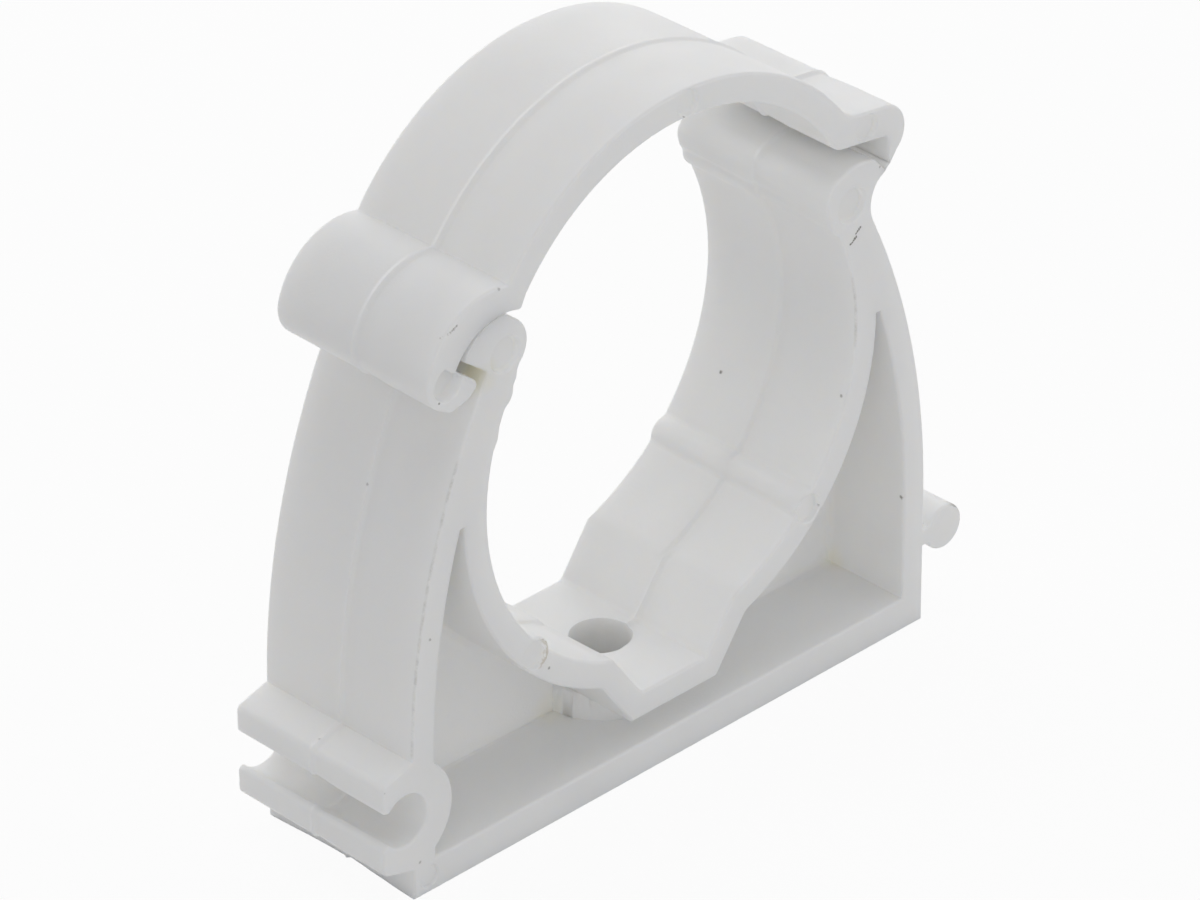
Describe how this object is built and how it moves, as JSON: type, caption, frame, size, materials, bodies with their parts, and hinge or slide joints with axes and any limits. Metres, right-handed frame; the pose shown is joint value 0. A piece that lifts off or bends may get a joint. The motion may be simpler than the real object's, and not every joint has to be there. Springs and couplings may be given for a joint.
{
  "type": "pipe clip",
  "caption": "Moulded plastic pipe clip: a saddle on a screw-down base, a strap that snaps shut over the pipe on a living hinge, and side links for joining clips in a row.",
  "frame": {"origin": "centre of the screw hole on the mounting face, z = 0", "axes": "+Z away from the wall along the screw hole, +Y along the pipe with -Y towards the face that carries the ejector marks, +X along the base towards the link bead"},
  "size_m": [0.0641, 0.0164, 0.0594],
  "materials": {
    "white_plastic": "fine satin grain, as moulded"
  },
  "bodies": {
    "saddle": {"saddle": "white_plastic"},
    "strap": {"strap": "white_plastic", "latch_hook": "white_plastic", "hinge_film": "white_plastic"}
  },
  "joints": [
    {"name": "strap_hinge", "type": "hinge", "parent": "saddle", "child": "strap", "pos_m": [0.02325, 0, 0.04392], "axis": [0, 1, 0], "range_deg": [0, 120], "deforming": ["latch_hook", "hinge_film"]}
  ]
}
